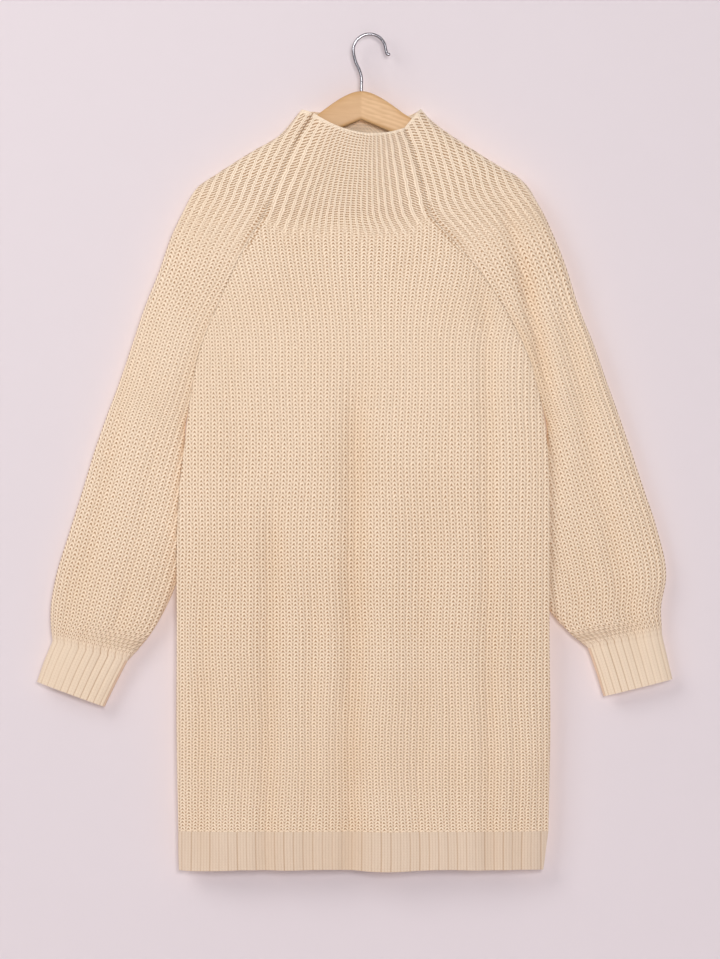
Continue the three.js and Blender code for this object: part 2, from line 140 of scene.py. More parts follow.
# The shoulder and outer edge of each sleeve beside the first eleven panel rows.
SLEEVE_TOP = table(
    "left leftDrop right rightDrop front back",
    [
        [65.5, 82, 63.5, 83, 12, 12],
        [88, 109, 84, 100, 13, 12.5],
        [118, 127, 110, 118, 14, 13],
        [156, 151, 146, 141, 14.5, 13.5],
        [184, 172, 180, 163, 14.5, 13.5],
        [197, 196, 195, 187, 14.5, 13.5],
        [209, 222, 207, 211, 14.5, 13.5],
        [221, 257, 223, 250, 14, 13.5],
        [237, 297, 238, 297, 13, 14],
        [251, 338, 254, 337, 11.5, 14.5],
        [266, 382, 270, 382, 10, 15],
    ],
)
TUBE_COLUMNS = "inLeft inLeftDrop left leftDrop inRight inRightDrop right rightDrop front back fold gather"
SLEEVE_TUBE = table(
    TUBE_COLUMNS,
    [
        [194.7, 440, 279, 416, 204.7, 440, 284, 420, 8, 16, 1.5, 1],
        [193, 482, 293, 455, 200, 482, 297, 457, 6, 17, 5.5, 1],
        [193, 530, 306.5, 499, 199, 530, 311, 499, 5, 18, 6.5, 1],
        [197, 575, 321, 545, 200, 578, 325, 541, 5, 18.5, 6.5, 1],
        [212, 621, 337, 598, 203, 626, 336, 596, 6, 18.5, 6, 1],
        [233, 660, 342.5, 637, 229, 657, 330, 632, 5, 17, 6, 0.9],
        [258, 689, 340.5, 667, 250, 675, 331.5, 660, 3, 14, 5.5, 0.65],
    ],
)
CUFF_ROWS = table(
    TUBE_COLUMNS,
    [
        [258, 689, 340.5, 667, 250, 675, 331.5, 660, 3, 14, 5.5, 1],
        [271.5, 715.5, 350, 690, 259.5, 703, 337.5, 686, 3, 14, 5.5, 1],
        [283, 739.5, 357.5, 712, 267, 728, 343, 709, 3.5, 14.5, 5.5, 1],
    ],
)
TUBE_OFFSET = 20  # a tube's levels are counted on by this from the panels' levels

# Folds. Each is a trough, or a ridge where the depth is negative, between two points.
FOLD_COLUMNS = "x0 drop0 x1 drop1 depth width"
FRONT_FOLDS = table(
    FOLD_COLUMNS,
    [
        [-112, 197, 84, 201, 2.0, 8],
        [-6, 450, -12, 940, 7.5, 15],
        [-98, 570, -104, 940, 5.5, 14],
        [-171, 650, -172, 880, 3.5, 12],
        [138, 290, 143, 940, 4.0, 12],
        [-52, 640, -58, 940, 2.2, 11],
        [34, 560, 30, 900, -1.8, 16],
        [70, 600, 66, 940, 1.8, 13],
        [168, 620, 172, 900, 2.0, 10],
        [-140, 380, -132, 560, 1.2, 13],
        [-30, 780, -38, 940, 1.8, 9],
        [-128, 760, -134, 940, 1.6, 9],
        [100, 740, 104, 940, 1.4, 9],
        [40, 262, 92, 232, 1.4, 7],
        [-104, 226, -60, 236, 1.4, 6],
        [-118, 236, -92, 262, -1.0, 7],
        [96, 206, 112, 232, 1.2, 6],
    ],
)
BACK_FOLDS = table(
    FOLD_COLUMNS,
    [
        [22, 470, 30, 940, 6.5, 16],
        [-86, 520, -96, 940, 5, 15],
        [118, 600, 124, 940, 4.5, 14],
        [-150, 330, -154, 860, 3.5, 13],
        [70, 690, 74, 940, 1.8, 12],
        [-30, 560, -36, 880, 1.6, 13],
        [-60, 760, -66, 940, 1.5, 9],
        [-96, 214, 80, 216, 1.6, 8],
        [30, 258, 84, 236, 1.2, 7],
    ],
)
SLEEVE_FOLDS = table(
    FOLD_COLUMNS,
    [
        [-255, 380, -305, 600, 3.6, 12],
        [229, 330, 290, 630, 4, 12],
        [167, 223, 183, 282, 3.6, 9],
        [183, 282, 198, 369, 5.2, 10],
        [198, 369, 207, 450, 5.2, 11],
        [-176, 178, -150, 205, 1.3, 7],
        [-205, 240, -186, 292, 1.2, 8],
        [-222, 300, -236, 390, 1.3, 9],
        [-228, 470, -262, 640, 1.4, 9],
        [-318, 600, -325, 655, 1.6, 7],
        [-292, 615, -306, 668, 1.8, 6],
        [-262, 628, -284, 680, 1.6, 6],
        [243, 480, 250, 600, 1.5, 10],
        [262, 610, 276, 668, 1.7, 6],
        [296, 600, 304, 660, 1.7, 7],
        [232, 600, 258, 668, 1.5, 6],
    ],
)
LONGEST_FOLD_END = 60


def smoothstep(value, low, high):
    """0 up to low, 1 from high on, and an S-curve between them."""
    t = np.clip((value - low) / (high - low), 0, 1)
    return t * t * (3 - 2 * t)


def fold_depth(folds, x, drop):
    """Each fold falls off as a bell with the distance from its line, and softly past its two ends."""
    total = np.zeros(np.broadcast(x, drop).shape)
    for x0, drop0, x1, drop1, depth, width in zip(*folds.values()):
        along, down = x1 - x0, drop1 - drop0
        length = np.hypot(along, down)
        t = ((x - x0) * along + (drop - drop0) * down) / length
        aside = ((x - x0) * down - (drop - drop0) * along) / length
        past = np.maximum(0, np.maximum(-t, t - length))
        end = np.minimum(LONGEST_FOLD_END, 4 * width)
        total += depth * np.exp(-((aside / width) ** 2) - (past / end) ** 2)
    return total


def between_rows(rows, knots, where):
    """Every column as a cubic curve through its rows, read at the given places along the knots."""
    step = np.diff(knots)
    k = np.clip(np.searchsorted(knots, where, side="right") - 1, 0, len(step) - 1)
    t = (where - knots[k]) / step[k]
    found = {}
    for name, column in rows.items():
        slope = np.gradient(column, knots)
        a, b = column[k], column[k + 1]
        m, n = slope[k] * step[k], slope[k + 1] * step[k]
        found[name] = a + t * (m + t * (3 * (b - a) - 2 * m - n + t * (2 * (a - b) + m + n)))
    return found


def level(rows):
    return (rows["leftDrop"] + rows["rightDrop"]) / 2


def near_neck(where, knots):
    """1 at the neck edge, 0 from the end of the yoke on, and even steps at the rows between."""
    return np.interp(where, knots[: YOKE_ROW + 1], np.linspace(1, 0, YOKE_ROW + 1))


def count_rows(drop, height, start, drops, stretch):
    """Counts rows of stitches from the start down to each drop. A row is as high as its height times the
    stretch, which runs in straight lines between the drops given for it."""
    marks = np.arange(start, 1000, 5.0)
    rows = 5 / (height * np.interp(marks, drops, stretch))
    return np.interp(drop, marks, np.concatenate([[0], np.cumsum(rows)[:-1]]))


def body_rows(drop, height):
    """The weight of the skirt closes the rows, and the chest's are the highest."""
    return count_rows(drop, height, 0, [200, 260, 470, 600, 780], [0.78, 0.8, 1.0, 0.92, 0.78])


def rungs(drop, height):
    """The yoke's rungs close up from the neck edge down to the yoke's end."""
    return count_rows(drop, height, 60, [120, 210], [1.2, 1.0])


def sway(x, drop):
    """The ribs wander a little to the sides, as two slow waves."""
    return 1.1 * np.sin(drop / 47 + x / 58) + 0.8 * np.sin(drop / 27 - x / 41 + 1.2)


def fan(u):
    """The yoke's ribs stand closer in the middle than beside the seams."""
    return u - YOKE_FAN * np.sin(2 * np.pi * u) / (2 * np.pi)


def rib_spread(drop):
    """How far apart the ribs stand, against their pitch on the skirt: they spread towards the yoke."""
    return 1 + 0.24 * (1 - smoothstep(drop, *SPREAD_DROPS))


def soft_ribs(rib):
    """A squared sine, 0 in each furrow and 1 on each rib."""
    return np.sin(np.pi * rib) ** 2


def broad_ribs(rib):
    """A sine to the power of 0.7, which is flatter on top and narrower in its furrows."""
    return np.abs(np.sin(np.pi * rib)) ** 0.7


# Meshes


def grid_quads(index):
    """The quads between the rows and columns of a grid of point numbers."""
    corners = (index[:-1, :-1], index[1:, :-1], index[1:, 1:], index[:-1, 1:])
    return np.stack(corners, -1).reshape(-1, 4)


def quad_edges(quads):
    return np.concatenate([quads[:, [k, (k + 1) % 4]] for k in range(4)])


def edge_keys(edges, count):
    """One number for each edge, whichever way it runs."""
    return np.sort(edges, axis=1) @ np.array([count, 1])


def shell(name, outer, inner, index, maps, masks):
    """A closed wall between two grids of points. Quads that have no area at a seam are left out, and a rim of
    quads joins the two sheets along every edge that only one quad uses. Index welds the points of a tube."""
    points = np.concatenate([outer.reshape(-1, 3), inner.reshape(-1, 3)])
    count = index.size
    quads = grid_quads(index)
    across = points[quads[:, 2]] - points[quads[:, 0]]
    down = points[quads[:, 3]] - points[quads[:, 1]]
    quads = quads[np.linalg.norm(np.cross(across, down), axis=1) > 1e-3]
    edges = quad_edges(quads)
    _, used_by, times = np.unique(edge_keys(edges, count), return_inverse=True, return_counts=True)
    a, b = edges[times[used_by] == 1].T
    rim = np.stack([b, a, a + count, b + count], -1)
    sharp = np.arange(2 * len(quads) + len(rim)) >= 2 * len(quads)
    quads = np.concatenate([quads, quads[:, ::-1] + count, rim])
    # Turned round as a whole if it faces inwards
    p = [points[quads[:, k]] for k in range(4)]
    volume = (p[0] * np.cross(p[1], p[2])).sum() + (p[0] * np.cross(p[2], p[3])).sum()
    if volume < 0:
        quads = quads[:, ::-1]
    used, quads = np.unique(quads, return_inverse=True)
    points = (points[used] + [CENTRE_LINE, 0, 0]) * MM
    pair = used % count
    maps = {key: np.stack([m.reshape(-1)[pair] for m in value], -1) for key, value in maps.items()}
    masks = {key: value.reshape(-1)[pair] for key, value in masks.items()}
    masks["Inside"] = (used >= count).astype(float)
    return mesh_object(name, points, quads.reshape(-1, 4), maps, masks, sharp)


def mesh_object(name, points, quads, maps=None, masks=None, sharp=None):
    """A smooth mesh of quads with its UV maps and point masks. The quads marked sharp are flat and have sharp
    edges."""
    mesh = bpy.data.meshes.new(name)
    mesh.vertices.add(len(points))
    mesh.vertices.foreach_set("co", points.astype(np.float32).ravel())
    mesh.loops.add(quads.size)
    mesh.loops.foreach_set("vertex_index", quads.astype(np.int32).ravel())
    mesh.polygons.add(len(quads))
    mesh.polygons.foreach_set("loop_start", np.arange(0, quads.size, 4, dtype=np.int32))
    for key, uv in (maps or {}).items():
        layer = mesh.uv_layers.new(name=key)
        layer.data.foreach_set("uv", uv[quads.ravel()].astype(np.float32).ravel())
    for key, values in (masks or {}).items():
        mask = mesh.attributes.new(key, "FLOAT", "POINT")
        mask.data.foreach_set("value", values.astype(np.float32))
    mesh.update(calc_edges=True)
    mesh.validate()
    mesh.shade_smooth()
    if sharp is not None:
        mesh.polygons.foreach_set("use_smooth", ~sharp)
        ends = np.zeros(2 * len(mesh.edges), dtype=np.int32)
        mesh.edges.foreach_get("vertices", ends)
        found = edge_keys(ends.reshape(-1, 2), len(points))
        rim = edge_keys(quad_edges(quads[sharp]), len(points))
        mesh.edges.foreach_set("use_edge_sharp", np.isin(found, rim))
    piece = bpy.data.objects.new(name, mesh)
    bpy.context.scene.collection.objects.link(piece)
    return piece


def finish_piece(piece, material, slot, *nodes):
    piece.data.materials.append(material)
    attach(piece, "root")
    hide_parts(*nodes)


# Panels and hems


def panel_lines(rows, where, face, near):
    """A panel's lines across at the places given, cut back at the seams, lifted and dipped at the neck."""
    line = between_rows(rows, level(rows), where)
    lift = near if face > 0 else 0 * near
    line["left"] -= SEAM_GAP / 2
    line["right"] -= SEAM_GAP / 2
    line["leftDrop"] -= lift * NECK_LIFT[-1]
    line["rightDrop"] -= lift * NECK_LIFT[1]
    line["dip"] = near * NECK_DIP[face]
    line["seam"] = line["frontSeam" if face < 0 else "backSeam"]
    line["middle"] = line["front" if face < 0 else "back"]
    return {key: value[:, None] for key, value in line.items()}


def share_across(line, x):
    """0 at a panel's left seam and 1 at its right one."""
    return (x + line["left"]) / (line["left"] + line["right"])


def panel_points(line, face, x, inset, relief):
    """Depth falls from the middle to the seams as 1 - aside to the power of the crown, less the folds."""
    u = share_across(line, x)
    drop = line["leftDrop"] + (line["rightDrop"] - line["leftDrop"]) * u
    drop = drop + line["dip"] * (1 - (2 * u - 1) ** 2)
    end = np.where(x < 0, line["left"], line["right"])
    aside = np.minimum(1, np.abs(x) / end)
    fold = fold_depth(FRONT_FOLDS if face < 0 else BACK_FOLDS, x, drop)
    fold = fold * smoothstep(end - np.abs(x), 0, FOLD_START)
    depth = line["seam"] + (line["middle"] - line["seam"]) * (1 - aside ** line["crown"]) - fold
    return np.stack([x, face * (depth - inset + relief), -drop], -1), fold


def panel_columns(line, where, pitch, spread, yoke_end):
    """Columns of points stand on the ribs, six to a rib, and are cut off where the seams cross them. They fan
    in with the panel above the yoke's end."""
    most = int(np.ceil(WIDEST / pitch * COLUMNS_PER_RIB))
    rib = np.arange(-most, most + 1)[None, :] / COLUMNS_PER_RIB
    x = np.clip(rib * pitch * spread, -line["left"], line["right"])
    at_end = share_across(line, x)[int(np.argmin(np.abs(where - yoke_end)))]
    fanned = -line["left"] + at_end[None, :] * (line["left"] + line["right"])
    return np.where(where[:, None] < yoke_end, fanned, x)


def neck_relief(edge, seam, x, face):
    """A rounded rim along the neck edge, and what both sheets share: a furrow along each raglan seam, deepest
    at the left of the neck, and the edge's roll outwards at its right."""
    across = (edge - RIM_HALF_WIDTH) / RIM_HALF_WIDTH
    rim = RIM_HEIGHT * np.sqrt(np.clip(1 - across**2, 0, 1))
    furrow = 0.08 + 1.2 * np.exp(-((edge / 30) ** 2)) * (x < 0)
    roll = 3.0 * np.exp(-((edge / 9) ** 2) - ((x - 50) / 16) ** 2)
    return rim, roll * (face < 0) - furrow * np.exp(-((seam / 3.0) ** 2))


def hem_wave(x, drop):
    """The lower edge isn't quite straight."""
    wave = 0.8 * np.sin(x / 31 + 0.7) + 0.6 * np.sin(x / 17)
    return wave * smoothstep(drop, *WAVE_DROPS)


def panel_piece(name, rows, face, band, sizes):
    """A panel, or a band of the hem. The yoke has ribs of its own, and the two knits meet in an uneven line
    that sags in the middle. Towards a band and on it, the relief is lower."""
    knots = level(rows)
    pitch = (sizes.hem_pitch if band else sizes.rib_pitch) / MM
    step = HEM_STEP if band else PANEL_STEP
    where = np.linspace(knots[0], knots[-1], int((knots[-1] - knots[0]) / step) + 1)
    if band:
        yoke_end, near, spread = knots[0], 0 * where, np.ones((len(where), 1))
    else:
        yoke_end = knots[YOKE_ROW]
        where = np.unique(np.append(where, yoke_end))
        near, spread = near_neck(where, knots), rib_spread(where)[:, None]
    line = panel_lines(rows, where, face, near)
    x = panel_columns(line, where, pitch, spread, yoke_end)
    u = share_across(line, x)
    aside = np.where(x < 0, line["left"], line["right"]) - np.abs(x)
    across = where[:, None] + 0 * x
    rib, ladder = x / (pitch * spread), YOKE_RIBS * fan(u)
    if band:
        yoke, edge, seam = 0 * x, FAR + 0 * x, aside + FAR
        rows_down = across / (sizes.band_height / MM)
        strength = HEM_RELIEF
    else:
        change = yoke_end + YOKE_SAG * np.sin(np.pi * u) + 3 * np.sin(x / 19) + 2 * np.sin(x / 7 + 1)
        yoke = 1 - smoothstep(across - change, *YOKE_CHANGE)
        edge = across - where[0]
        seam = aside + FAR * smoothstep(across, *RAGLAN_END)
        rows_down = body_rows(across, sizes.row_height / MM)
        strength = 1 - 0.5 * smoothstep(across, where[-1] - 4, where[-1])
    profile = soft_ribs(rib) * (1 - yoke) + soft_ribs(ladder) * yoke
    relief = sizes.rib_height / MM * profile * smoothstep(aside, 0, RIB_START) * strength
    rim, shared = neck_relief(edge, seam, x, face)
    swayed = x + sway(x, across) * smoothstep(aside, 0, FOLD_START) * smoothstep(edge, 0, 30)
    outer, fold = panel_points(line, face, swayed, 0, relief + rim + shared)
    inner, _ = panel_points(line, face, swayed, sizes.cloth / MM, shared)
    for sheet in (outer, inner):
        sheet[..., 2] -= hem_wave(x, across)
    index = np.arange(x.size).reshape(x.shape)
    maps = {"Ribs": (rib, rows_down), "Ladder": (ladder, rungs(across, sizes.ladder_height / MM))}
    # The last mask is painted shade in the creases, as strong as the fold is deep
    masks = {"Yoke": yoke, "Edge": edge, "Seam": seam, "Fold": np.clip(fold / DEEP_FOLD, 0, 1)}
    return shell(name, outer, inner, index, maps, masks)


# Sleeves and cuffs


def half_section(section, face, inset):
    """From the outer edge to the seam or inner fold. An open section is a quarter of a superellipse, with a
    dip at the seam. A closed one is a half of one, and closed runs from 0 to 1 between the two."""
    turn = np.linspace(0, 1, SECTION_STEPS + 1)[None, ::-1]
    width, closed = section["width"], section["closed"]
    depth = section["front" if face < 0 else "back"]
    seam = section["frontSeam" if face < 0 else "backSeam"]
    edge = (section["back"] - section["front"]) / 2

    angle = np.pi * turn
    across = -np.sign(np.cos(angle)) * np.abs(np.cos(angle)) ** RING_POWER
    middle = section["fold"] + (edge - section["fold"]) * turn
    swell = np.sin(angle).clip(0) ** RING_POWER
    ring_d = width / 2 + across * (width / 2 - inset)
    ring_y = middle + (face * (depth - inset) - middle) * swell

    angle = angle / 2
    open_d = np.sin(angle) ** OPEN_POWER * (width - inset)
    groove = (depth - seam) * np.exp(-((open_d / GROOVE_WIDTH) ** 2))
    rise = np.cos(angle).clip(0) ** OPEN_POWER
    open_y = edge + (face * (depth - inset) - edge) * rise - face * groove
    return open_d + (ring_d - open_d) * closed, open_y + (ring_y - open_y) * closed


def walked(d, y):
    """The length walked along each section from its outer edge."""
    along = np.cumsum(np.hypot(np.diff(d), np.diff(y)), axis=1)
    return np.concatenate([np.zeros((len(d), 1)), along], axis=1)


def resample(d, y, share):
    """The points at each share of the length of each section."""
    along = walked(d, y)
    at = share * along[:, -1:]
    return [np.stack([np.interp(*row) for row in zip(at, along, line)]) for line in (d, y)]


def tube_points(section, side, face, line, run, out):
    """Points of a line, d from the seam and y deep, go out of the cloth at a right angle to the line's run,
    are pushed in by the folds, and are set between the sleeve's inner and outer edges."""
    (d, y), (run_d, run_y) = line, run
    across = (d + face * run_y * out) / section["width"]
    x = side * (section["inOut"] + (section["outOut"] - section["inOut"]) * across)
    drop = section["inDrop"] + (section["outDrop"] - section["inDrop"]) * across
    drop = drop - (section["lift"] * (1 - across) if face > 0 else 0)
    middle = (section["back"] - section["front"]) / 2
    held = np.minimum(1, np.abs(y - middle) / 6) * smoothstep(d, 0, 20)
    fold = fold_depth(SLEEVE_FOLDS, x, drop) * held
    moved_y = y - face * run_d * out - np.sign(y - middle) * fold
    return np.stack([x, moved_y, -drop], -1), fold


def tube_half(section, where, side, face, band, sizes):
    """One face of a sleeve or cuff, from the outer edge to the seam. Points stand on the ribs, which are
    counted from the outer edge and cut off at the seam or inner fold. The yoke's begin at the seam."""
    pitch, closed, cuff = section["pitch"], section["closed"], section["cuff"]
    outline = half_section(section, face, 0)
    total = walked(*outline)[:, -1:]
    most = int(np.ceil((total / pitch).max() * COLUMNS_PER_RIB))
    share = np.clip(np.arange(most + 1)[None, :] / COLUMNS_PER_RIB * pitch / total, 0, 1)
    outer = resample(*outline, share)
    inner = resample(*half_section(section, face, sizes.cloth / MM), share)
    run_d, run_y = (np.gradient(line, axis=1) for line in outer)
    size = np.hypot(run_d, run_y).clip(1e-6)
    run = (run_d / size, run_y / size)
    rib, aside = share * total / pitch, total * (1 - share)
    ladder = side * aside / pitch
    seam = aside * (1 if band else 3) ** closed + NO_SEAM * closed
    edge = (where - where[0])[:, None] + FAR * band + 0 * rib
    profile = broad_ribs(rib) if band else soft_ribs(rib) * (1 - cuff) + broad_ribs(rib / 2) * cuff
    profile = profile + (soft_ribs(ladder) - profile) * section["yoke"]
    strength = CUFF_RELIEF if band else 1 - (1 - CUFF_RELIEF) * cuff
    relief = sizes.rib_height / MM * profile * smoothstep(aside, 0, RIB_START) * strength
    rim, shared = neck_relief(edge, seam, side * 60 + 0 * rib, face)
    outer, _ = tube_points(section, side, face, outer, run, relief + rim + shared)
    inner, fold = tube_points(section, side, face, inner, run, shared)
    # Painted shade next to the seam under the arm, fainter on the left
    underarm = smoothstep(where, *UNDERARM_START) * (1 - smoothstep(where, *UNDERARM_END)) * (not band)
    underarm_shade = np.exp(-((aside / 11) ** 2)) * underarm[:, None] * UNDERARM_SHADE[side]
    # Painted shade in the creases, with the painted shade under the arm added
    crease_shade = np.clip(fold / DEEP_FOLD + underarm_shade, 0, 1)
    return {"outer": outer, "inner": inner, "rib": rib, "seam": seam, "ladder": ladder, "crease_shade": crease_shade}


def tube_piece(name, section, where, side, band, sizes):
    """Points run round each section from the seam over the front, round the outer edge and over the back."""
    front, back = (tube_half(section, where, side, face, band, sizes) for face in (-1, 1))
    front["rib"] = -front["rib"]
    tube = {key: np.concatenate([front[key][:, ::-1], back[key][:, 1:]], axis=1) for key in front}
    rib, closed = tube["rib"], section["closed"]
    index = np.arange(rib.size).reshape(rib.shape)
    ring = closed[:, 0] > 0.999
    index[ring, -1] = index[ring, 0]
    across = where[:, None] + 0 * rib
    maps = {
        "Ribs": (rib, section["count"] + 0 * rib),
        "Ladder": (tube["ladder"] + YOKE_RIBS * (side > 0), rungs(across, sizes.ladder_height / MM)),
    }
    masks = {
        "Yoke": section["yoke"] + 0 * rib,
        "Edge": across - where[0] + FAR * band,
        "Seam": tube["seam"],
        "Band": section["cuff"] + 0 * rib,
        # Painted shade in the creases and along the seam under the arm
        "Fold": tube["crease_shade"],
        # Where the painted shade along each inner fold falls
        "Layer": np.clip(2 - (tube["seam"] - NO_SEAM * closed) / LAYER_STRIP, 0, 2) * closed,
    }
    return shell(name, tube["outer"], tube["inner"], index, maps, masks)


def cuff_pitch(section):
    """The cuff's ribs share out its girth."""
    return (2 * section["width"] + (section["front"] + section["back"]) * 0.2) / CUFF_RIBS


def tube_rows(rows, side):
    """One side's columns of a table of tube rows, under the names that a section has for them."""
    name, inner = ("left", "inLeft") if side < 0 else ("right", "inRight")
    edges = {"inOut": inner, "inDrop": inner + "Drop", "outOut": name, "outDrop": name + "Drop"}
    same = {key: key for key in ("front", "back", "fold", "gather")}
    return {key: rows[column] for key, column in {**edges, **same}.items()}


def section_rows(rows, where, knots):
    section = {key: value[:, None] for key, value in between_rows(rows, knots, where).items()}
    out, down = section["outOut"] - section["inOut"], section["outDrop"] - section["inDrop"]
    section["width"] = np.hypot(out, down)
    return section


def sleeve_piece(name, side, sizes):
    """The sleeve's first rows stand beside the panels' and are open along the seam, and the others close. A
    cuff's broad ribs, each as wide as two of the sleeve's, begin in its last rows."""
    key = "left" if side < 0 else "right"
    top = len(SLEEVE_TOP["left"])
    panel = {key: column[:top] for key, column in PANEL_ROWS.items()}
    tube = tube_rows(SLEEVE_TUBE, side)
    steady = np.ones(len(tube["fold"]))
    tube.update({key: steady * panel[key][-1] for key in ("frontSeam", "backSeam")})
    beside = {
        "inOut": panel[key] + SEAM_GAP / 2,
        "inDrop": panel[key + "Drop"],
        "outOut": SLEEVE_TOP[key],
        "outDrop": SLEEVE_TOP[key + "Drop"],
        "front": SLEEVE_TOP["front"],
        "back": SLEEVE_TOP["back"],
        "frontSeam": panel["frontSeam"],
        "backSeam": panel["backSeam"],
        "fold": np.full(top, tube["fold"][0]),
        "gather": np.ones(top),
    }
    rows = {key: np.concatenate([column, tube[key]]) for key, column in beside.items()}
    knots = np.concatenate([level(panel), (tube["inDrop"] + tube["outDrop"]) / 2 + TUBE_OFFSET])
    where = np.linspace(knots[0], knots[-1], SLEEVE_ROWS)
    near_cuff = knots[-1] - np.arange(3, 20, 3.0)
    where = np.unique(np.concatenate([where, [knots[top]], near_cuff]))
    section = section_rows(rows, where, knots)
    closed = np.minimum(smoothstep(where, knots[top - 1], knots[top]), 0.995)
    pitch = sizes.rib_pitch / MM * section["gather"] * rib_spread(where)[:, None]
    gathered = smoothstep(where, knots[-2], knots[-1])[:, None]
    more = {
        "closed": np.where(where >= knots[top] - 1e-6, 1, closed),
        "cuff": smoothstep(where, where[-1] - 12, where[-1] - 1),
        "yoke": 1 - smoothstep(where, knots[YOKE_ROW - 1], knots[YOKE_ROW + 3]),
        "lift": NECK_LIFT[side] * near_neck(where, knots),
        "count": body_rows(where, sizes.row_height / MM),
    }
    section.update({key: value[:, None] for key, value in more.items()})
    section["pitch"] = pitch + (cuff_pitch(section)[-1] / 2 - pitch) * gathered
    return tube_piece(name, section, where, side, False, sizes)


def cuff_piece(name, side, sizes):
    rows = tube_rows(CUFF_ROWS, side)
    rows.update(frontSeam=rows["front"], backSeam=rows["back"])
    knots = (rows["inDrop"] + rows["outDrop"]) / 2
    where = np.linspace(knots[0], knots[-1], CUFF_ROW_COUNT)
    section = section_rows(rows, where, knots)
    zero = np.zeros((len(where), 1))
    section.update(closed=zero + 1, cuff=zero, yoke=zero, lift=zero, pitch=cuff_pitch(section))
    section["count"] = where[:, None] / (sizes.band_height / MM)
    return tube_piece(name, section, where, side, True, sizes)


# Hanger

WIRE = 3.4
WIRE_STEPS = 181
WIRE_SIDES = 24
HOOK_RADIUS = 17.9
HOOK_SHANK = [[CENTRE_LINE, 74.3], [CENTRE_LINE, 58], [CENTRE_LINE, 46], [-11, 38.5], [-15.6, 28]]
HOOK_TIP = [[19.6, 20.4], [23, 20.6]]
BAR_HALF_THICKNESS = 6
BAR_SIDES = 48
BAR_NOTCH_DROP = 93
BAR_TOP_DROP = 61.3
BAR_ARM_TOP = [46, 85.5]
BAR_TIPS = {-1: [164, 163.5], 1: [166, 161.2]}


def swept(name, points):
    """Quads between rings of points, in millimetres, whose first and last rings shrink to nearly nothing."""
    rings, around = points.shape[:2]
    index = np.arange(rings * around).reshape(rings, around)
    index = np.concatenate([index, index[:, :1]], axis=1)
    return mesh_object(name, points.reshape(-1, 3) * MM, grid_quads(index))


def round_ends(count, reach):
    """The size of each ring: a quarter of a circle over the first and last rings, and 1 between them."""
    from_end = np.minimum(np.arange(count), np.arange(count)[::-1]) / reach
    return np.sqrt(1 - (1 - np.clip(from_end, 0, 1)) ** 2).clip(0.02)[:, None]


def hook_mesh(name):
    """A round wire swept along a smooth curve through the shank, the arc and the tip."""
    angle = np.radians([175, 150, 125, 100, 75, 50, 25, 3])
    centre = HOOK_RADIUS - WIRE / 2
    arc = np.stack([HOOK_RADIUS * np.cos(angle), centre - HOOK_RADIUS * np.sin(angle)], -1)
    marks = np.concatenate([HOOK_SHANK, arc, HOOK_TIP])
    knots = np.concatenate([[0], np.cumsum(np.sqrt(np.linalg.norm(np.diff(marks, axis=0), axis=1)))])
    where = np.linspace(0, knots[-1], WIRE_STEPS)
    path = between_rows({"x": marks[:, 0], "z": -marks[:, 1]}, knots, where)
    x, z = path["x"][:, None], path["z"][:, None]
    run_x, run_z = np.gradient(x, axis=0), np.gradient(z, axis=0)
    size = np.hypot(run_x, run_z)
    radius = WIRE / 2 * round_ends(WIRE_STEPS, 3)
    turn = np.linspace(0, 2 * np.pi, WIRE_SIDES + 1)[None, :-1]
    aside = radius * np.cos(turn)
    deep = radius * np.sin(turn)
    return swept(name, np.stack([x - run_z / size * aside, deep, z + run_x / size * aside], -1))


def bezier(a, b, c, d, steps):
    """A cubic curve from a to d, with b and c as its handles."""
    t = np.linspace(0, 1, steps)[:, None]
    a, b, c, d = (np.array(p, float) for p in (a, b, c, d))
    return (1 - t) ** 3 * a + 3 * t * (1 - t) ** 2 * b + 3 * t * t * (1 - t) * c + t**3 * d


def even(points, count=120):
    """The given count of points, evenly spaced along a line of points."""
    along = np.concatenate([[0], np.cumsum(np.linalg.norm(np.diff(points, axis=0), axis=1))])
    at = np.linspace(0, along[-1], count)
    return np.stack([np.interp(at, along, points[:, k]) for k in (0, 1)], -1)


def bar_mesh(name):
    """A rounded section swept from tip to tip between the bar's upper and lower outlines."""
    halves = []
    for side in (-1, 1):
        tip = np.array(BAR_TIPS[side], float)
        nose = bezier(tip, tip + [11, 7], tip + [3, 22], tip + [-11, 16], 41)
        top = bezier([0, BAR_TOP_DROP], [12, BAR_TOP_DROP], [26, 70], BAR_ARM_TOP, 40)
        under = bezier([0, BAR_NOTCH_DROP], [60, 117], [100, 141], nose[-1], 60)
        upper = even(np.concatenate([top, nose[:21]]))
        lower = even(np.concatenate([under, nose[20:][::-1]]))
        halves.append([upper * [side, 1], lower * [side, 1]])
    upper, lower = (np.concatenate([left[::-1], right[1:]]) for left, right in zip(*halves))
    turn = np.linspace(0, 2 * np.pi, BAR_SIDES + 1)[None, :-1]
    high = np.sign(np.cos(turn)) * np.abs(np.cos(turn)) ** BAR_POWER
    deep = np.sign(np.sin(turn)) * np.abs(np.sin(turn)) ** BAR_POWER
    middle, half = (upper + lower) / 2, (upper - lower) / 2
    x = middle[:, :1] + half[:, :1] * high + CENTRE_LINE
    drop = middle[:, 1:] + half[:, 1:] * high
    thick = BAR_HALF_THICKNESS * round_ends(len(upper), 8)
    return swept(name, np.stack([x, thick * deep, -drop], -1))


# Materials

CUFF_KNIT = {"Wales": 2.0, "Furrow": 0.45, "Lines": 0.1}
HEM_KNIT = {"Wales": 3.0, "Furrow": 0.34, "Lines": 0.2}
STEEPEST_RUNG = 2.2  # rows that a rung climbs from rib to rib at the yoke's two sides
UNEVEN = (0.35, 0.6, 0.0)  # how far noise moves a stitch, in ribs and rows
# The colour that the painted shade near each inner fold multiplies the yarn by: darker and rosier
PAINTED_FOLD_EDGE_SHADE = (0.93, 0.83, 0.8, 1)
# The colour that the painted shade in the creases multiplies the yarn by
PAINTED_CREASE_SHADE = (0.945, 0.895, 0.83, 1)
TONE_TINT = (0.93, 0.9, 0.86, 1)
GRAIN_LINES = 0.0052  # metres from line to line


